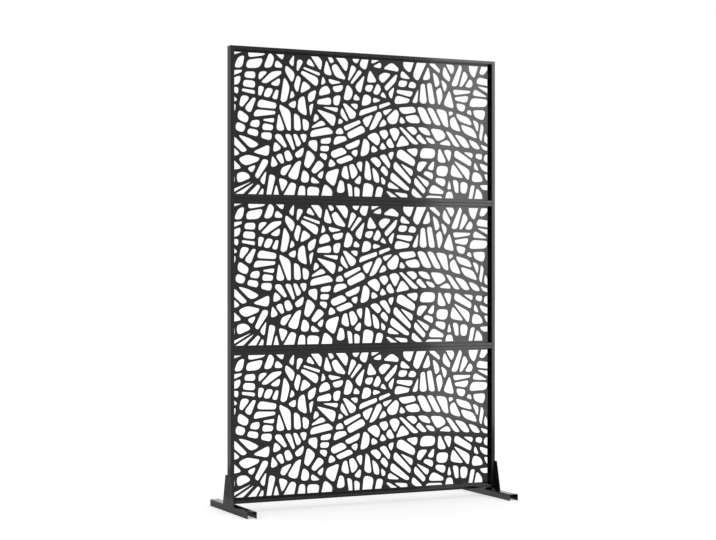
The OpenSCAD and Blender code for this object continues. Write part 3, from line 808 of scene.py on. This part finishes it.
class SCREEN_OT_gussets(bpy.types.Operator):
    """Gusset plates outside the posts, with the welds that join them to the feet"""

    bl_idname = "screen.gussets"
    bl_label = "Gussets"
    bl_options = {"REGISTER", "UNDO"}

    def execute(self, context):
        sizes = context.scene.screen_sizes
        for side, sign in SIDES.items():
            plate = self.plate(side, sign, sizes)
            beads = self.beads(side, sign, sizes)
            whole = joined(f"{side}_gusset_plate", [plate, self.dressed_weld(side, sign, sizes), *beads])
            smoothed(whole)
            finished(whole, "foot_coat", f"{side}_gusset")
        return {"FINISHED"}

    @staticmethod
    def plate(side, sign, sizes):
        """The plate: a straight foot, sides that lean in to a narrower top, and two flush screws' seats."""
        low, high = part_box(f"{side}_gusset")
        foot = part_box(f"{side}_foot")[1].z
        post = middle(f"{side}_post")
        outer = outer_side(f"{side}_gusset", sign)
        inner = outer_side(f"{side}_post", sign)
        half = (high.y - low.y) / 2
        x0, x1 = sorted((inner, outer))
        plate = block(f"{side}_gusset_plate", (x0, -half, foot), (x1, half, foot + sizes.gusset_foot * MM))
        pick(plate, "faces", lambda face: face.normal.z > ALIGNED)
        bpy.ops.mesh.extrude_region_move(
            TRANSFORM_OT_translate={"value": (0, 0, high.z - foot - sizes.gusset_foot * MM)})
        share = sizes.gusset_top * MM / (2 * half)
        bpy.ops.transform.resize(value=(1, share, 1), center_override=((inner + outer) / 2, 0, high.z))
        bpy.ops.object.mode_set(mode="OBJECT")
        break_edges(plate, lambda e: along((1, 0, 0))(e) and e.verts[0].co.z > high.z - NEAR,
                    sizes.gusset_corner * MM, steps=4)
        for z in (middle("bottom_section_bottom_rail").z, high.z - sizes.gusset_drop * MM):
            countersink(plate, (outer, post.y, z), sign, sizes)
        cleaned(plate)

        break_edges(plate, lambda e: sharp(e) and max(v.co.z for v in e.verts) > foot + NEAR,
                    0.6 * sizes.plate_edge * MM, steps=2)
        return plate

    @staticmethod
    def beads(side, sign, sizes):
        """The two beads inside, before and behind the post."""
        post_gap, inset = 8 * MM, 4 * MM
        low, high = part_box(f"{side}_gusset")
        post_low, post_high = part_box(f"{side}_post")
        half = (high.y - low.y) / 2
        seam = Vector((outer_side(f"{side}_post", sign), 0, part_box(f"{side}_foot")[1].z))
        length = half - (post_high.y - post_low.y) / 2 - post_gap
        return [weld_bead("bead", seam + Vector((0, way * (half - inset - length / 2), 0)), length, sizes)
                for way in (-1, 1)]

    @staticmethod
    def dressed_weld(side, sign, sizes):
        """The weld outside, ground flush with the plate, over the foot's outer bend."""
        room, overlap = 0.05 * MM, 0.2 * MM
        low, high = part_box(f"{side}_gusset")
        foot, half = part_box(f"{side}_foot")[1].z, (high.y - low.y) / 2
        outer = outer_side(f"{side}_gusset", sign)
        x0, x1 = sorted((outer_side(f"{side}_post", sign), outer))
        bend = sizes.channel_bend * MM
        weld = block("dressed_weld", (x0, -half, foot - bend), (x1, half, foot + overlap))
        cut(weld, rod("foot_bend", (outer - sign * bend, 0, foot - bend), bend + room, 3 * half,
                      (0, 1, 0), sides=64))
        return weld


def flat_screw(length, sizes):
    """A countersunk screw, its head's face at the origin and its shank pointing down."""
    r = sizes.bolt * MM / 2
    head, rim, edge = 2 * r - 0.2 * MM, 0.2 * MM, 0.06 * MM
    tip = [(0, -length), (0.8 * r, -length), (r, 0.5 * MM - length)]
    screw = lathe("screw", [*tip, (r, -r), (head, -rim), (head, -edge), (head - edge, 0), (0, 0)], sides=32)
    cut(screw, rod("key", (0, 0, 0), 0.7 * r, 1.1 * r, (0, 0, 1), sides=6))
    cleaned(screw)
    smoothed(screw, angle=35)
    return screw


class SCREEN_OT_gusset_screws(bpy.types.Operator):
    """Flush screws through each gusset, into the post and the lowest rail"""

    bl_idname = "screen.gusset_screws"
    bl_label = "Gusset screws"
    bl_options = {"REGISTER", "UNDO"}

    def execute(self, context):
        sizes = context.scene.screen_sizes
        nut, past_nut = 0.8 * sizes.bolt, 2
        for side, sign in SIDES.items():
            node = f"{side}_gusset_screws"
            low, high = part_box(node)
            outer = outer_side(node, sign)
            to_rail = high.x - low.x
            plate = abs(outer - outer_side(f"{side}_post", sign))
            to_nut = plate + (sizes.tube_wall + nut + past_nut) * MM
            inwards = Matrix.Rotation(sign * math.pi / 2, 4, "Y")
            made = []
            for z, length in ((middle("bottom_section_bottom_rail").z, to_rail),
                              (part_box(f"{side}_gusset")[1].z - sizes.gusset_drop * MM, to_nut)):
                screw = flat_screw(length, sizes)
                screw.matrix_world = Matrix.Translation((outer, middle(f"{side}_post").y, z)) @ inwards
                settle(screw)
                made.append(screw)
            screws = joined(f"{side}_flat_screws", made)
            finished(screws, "black_screws", node)
        return {"FINISHED"}


class SCREEN_OT_inner_pieces(bpy.types.Operator):
    """Finishes for the pieces inside the tubes and channels, whose shape is already right"""

    bl_idname = "screen.inner_pieces"
    bl_label = "Inner pieces"
    bl_options = {"REGISTER", "UNDO"}

    def execute(self, context):
        for side in SIDES:
            for piece, slot in (("rail_spigots", "black_plastic"), ("weld_nut", "zinc_steel"),
                                ("post_plug", "zinc_steel"), ("foot_bolt", "zinc_steel")):
                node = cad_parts[f"{side}_{piece}"]
                node.data.materials.clear()
                node.data.materials.append(finish(slot))
        return {"FINISHED"}


# ---- Stage ---------------------------------------------------------------------------------------


def seen(nodes):
    """1 for what the camera sees, straight or in a gloss or glass, and 0 for plain light."""
    camera, gloss, glass = (nodes.node("LightPath", output=ray) for ray in
                            ("Is Camera Ray", "Is Glossy Ray", "Is Transmission Ray"))
    return camera.or_more(gloss.or_more(glass))


def lay_floor(stage):
    """A white floor, lifted to the photo's white where it is seen."""
    deselect()
    bpy.ops.mesh.primitive_plane_add(size=80)
    floor = bpy.context.object
    floor.name = "floor"
    material = bpy.data.materials.new("floor_white")
    paint = Finish(material)
    white = paint.node("BsdfDiffuse", {}, {"Color": (stage.floor, stage.floor, stage.floor, 1)})
    lift = paint.node("Emission", {}, {"Strength": seen(paint) * stage.lift})
    paint.node("OutputMaterial", {}, {"Surface": paint.node("AddShader", {}, {0: white, 1: lift})})
    floor.data.materials.append(material)


def light_room(stage):
    """Even light from all round, which is white where it is seen."""
    world = bpy.data.worlds.new("room")
    bpy.context.scene.world = world
    room = Finish(world)
    level = seen(room) * (1 - stage.ambient) + stage.ambient
    light = room.node("Background", {}, {"Color": (1, 1, 1, 1), "Strength": level})
    room.node("OutputWorld", {}, {"Surface": light})


def hang_softbox(stage):
    """A softbox with a faint inner wing, which glosses alone see, past the posts and gussets."""
    wide, tall = stage.key_size[0] + stage.key_wing, stage.key_size[1]
    centre = Vector(stage.key_low) + Vector((wide / 2 - stage.key_wing, 0, tall / 2))
    bpy.ops.object.light_add(type="AREA", location=centre, rotation=(math.pi / 2, 0, 0))
    softbox = bpy.context.object
    softbox.name = "softbox"
    softbox.data.shape = "RECTANGLE"
    softbox.data.size = wide
    softbox.data.size_y = tall
    softbox.data.energy = stage.key * math.pi * wide * tall
    softbox.visible_camera = softbox.visible_diffuse = False

    beam = Finish(softbox.data)
    place = beam.node("NewGeometry", output="Parametric")
    across, height = (beam.node("SeparateXYZ", {}, {"Vector": place}, axis) for axis in "XY")
    wing = stage.key_wing / wide
    full = across.above(wing)
    glow = full + (1 - full) * across * (stage.wing_glow / wing)
    beam.node("OutputLight", {}, {"Surface": beam.node("Emission", {}, {
        "Strength": (1 - stage.key_fall + height * stage.key_fall) * glow})})

    past = bpy.data.collections.new("not_in_the_light")
    softbox.light_linking.blocker_collection = past
    for side in SIDES:
        for piece in ("post_tube", "gusset_plate"):
            past.objects.link(bpy.data.objects[f"{side}_{piece}"])
    for link in past.collection_objects:
        link.light_linking.link_state = "EXCLUDE"


def flag(name, centre, size, turn, density, glow=0.0):
    """A dark screen or a glowing card, which only a gloss sees, and only from its front: painted shade or
    painted light in reflections.
    """
    deselect()
    bpy.ops.mesh.primitive_plane_add(size=1, location=centre, rotation=turn)
    cloth = bpy.context.object
    cloth.name = name
    cloth.scale = (*size, 1)
    material = bpy.data.materials.new(name)
    weave = Finish(material)
    painted_glow = weave.node("Emission", {}, {"Strength": glow})
    clear = weave.node("BsdfTransparent")
    front = 1 - weave.node("NewGeometry", output="Backfacing")
    weave.node("OutputMaterial", {}, {"Surface": weave.node("MixShader", {}, {
        0: front * density, 1: clear, 2: painted_glow})})
    cloth.data.materials.append(material)
    cloth.visible_camera = cloth.visible_diffuse = cloth.visible_transmission = cloth.visible_shadow = False


def set_painted_shade_and_light():
    """Dark sheets, seen only in gloss, that paint shade into what the object mirrors, and a glowing card that
    paints light on the sheet's lower right corner.
    """
    quarter = math.pi / 2
    to_front, to_left, to_right, up = (quarter, 0, 0), (0, -quarter, 0), (0, quarter, 0), (0, 0, 0)
    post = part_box("right_post")[0].x
    sheet = middle("middle_panel")
    web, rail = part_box("right_foot")[1].z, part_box("bottom_section_bottom_rail")[0].z
    # Painted shade: a black sheet beside the right post, seen only in gloss, that darkens the post's inner
    # face.
    flag("black_strip", centre=(post - 0.05, sheet.y, sheet.z), size=(0.1, 1.8), turn=to_front, density=1.0)
    # Painted shade: a black sheet, seen only in gloss, across the gap between the feet's webs and the lowest
    # rail.
    flag("black_sill", centre=(0, sheet.y, (web + rail) / 2), size=(2 * post, rail - web + 2 * MM),
         turn=to_front, density=1.0)
    # Painted shade: a grey sheet, seen only in gloss, near the lowest rail to the left of the middle.
    flag("grey_sill", centre=(-0.465, sheet.y, rail + 0.033), size=(0.21, 0.042), turn=to_front, density=0.6)
    # Painted shade: a dark patch on the floor inside each foot's channel, seen only in gloss, for the shade
    # under the channel.
    for side in SIDES:
        flag(f"{side}_black_bed", centre=(middle(f"{side}_foot").x, 0, 0.5 * MM), size=(0.033, 0.39), turn=up,
             density=0.45)
    # Painted light: a glowing card on the right post's inner face, no lamp and seen only in gloss, that
    # brightens the sheet's lower right corner.
    flag("white_card", centre=(post - 0.5 * MM, 0, 0.205), size=(0.31, 0.036), turn=to_left, density=1.0,
         glow=1.1)
    # Painted shade: a grey sheet behind the left side, seen only in gloss, that darkens what the left faces
    # mirror.
    flag("grey_net", centre=(-0.75, 0.5, 0.975), size=(1.95, 0.8), turn=to_right, density=0.35)
    # Painted shadow: a grey patch on the floor behind the left foot, seen only in gloss, that darkens what
    # the left foot mirrors.
    flag("grey_card", centre=(-0.95, 0.6, 0.001), size=(0.7, 1.6), turn=up, density=0.5)


def set_camera(stage):
    """The camera at the photo's place, level, with the photo's framing."""
    bpy.ops.object.camera_add(location=stage.camera_place, rotation=(math.pi / 2, 0, -stage.heading))
    camera = bpy.context.object
    camera.data.sensor_width = 36
    camera.data.lens = stage.lens
    camera.data.clip_end = 200
    bpy.context.scene.camera = camera


class SCREEN_OT_stage(bpy.types.Operator):
    """White floor, even room light, a softbox, gloss-only sheets that paint shade and light into reflections,
    and the camera
    """

    bl_idname = "screen.stage"
    bl_label = "Stage"
    bl_options = {"REGISTER", "UNDO"}

    def execute(self, context):
        stage = context.scene.screen_stage
        lay_floor(stage)
        light_room(stage)
        hang_softbox(stage)
        set_painted_shade_and_light()
        set_camera(stage)
        context.scene.view_settings.view_transform = "Standard"
        return {"FINISHED"}


# ---- Panel and run -------------------------------------------------------------------------------


class SCREEN_PT_panel(bpy.types.Panel):
    """Lists the pieces, their sizes and their finishes"""

    bl_label = "Metal screen"
    bl_idname = "SCREEN_PT_panel"
    bl_space_type = "VIEW_3D"
    bl_region_type = "UI"
    bl_category = "Metal screen"

    def draw(self, context):
        for operator in OPERATORS:
            self.layout.operator(operator.bl_idname)
        for group in (getattr(context.scene, name) for name in GROUPS):
            box = self.layout.box()
            for name in group.bl_rna.properties.keys():
                if name not in ("rna_type", "name"):
                    box.prop(group, name)


OPERATORS = (SCREEN_OT_posts, SCREEN_OT_post_caps, SCREEN_OT_rails, SCREEN_OT_sheets,
             SCREEN_OT_sheet_screws, SCREEN_OT_feet, SCREEN_OT_gussets, SCREEN_OT_gusset_screws,
             SCREEN_OT_inner_pieces, SCREEN_OT_stage)
GROUPS = {"screen_sizes": ScreenSizes, "screen_finish": ScreenFinish, "screen_stage": ScreenStage}


def register():
    for cls in (*GROUPS.values(), *OPERATORS, SCREEN_PT_panel):
        bpy.utils.register_class(cls)
    for name, cls in GROUPS.items():
        setattr(bpy.types.Scene, name, bpy.props.PointerProperty(type=cls))


def unregister():
    for name in GROUPS:
        delattr(bpy.types.Scene, name)
    for cls in reversed((*GROUPS.values(), *OPERATORS, SCREEN_PT_panel)):
        bpy.utils.unregister_class(cls)


def main():
    register()
    bpy.ops.screen.posts()
    bpy.ops.screen.post_caps()
    bpy.ops.screen.rails()
    bpy.ops.screen.sheets()
    bpy.ops.screen.sheet_screws()
    bpy.ops.screen.feet()
    bpy.ops.screen.gussets()
    bpy.ops.screen.gusset_screws()
    bpy.ops.screen.inner_pieces()
    bpy.ops.screen.stage()


if __name__ == "__main__":
    main()
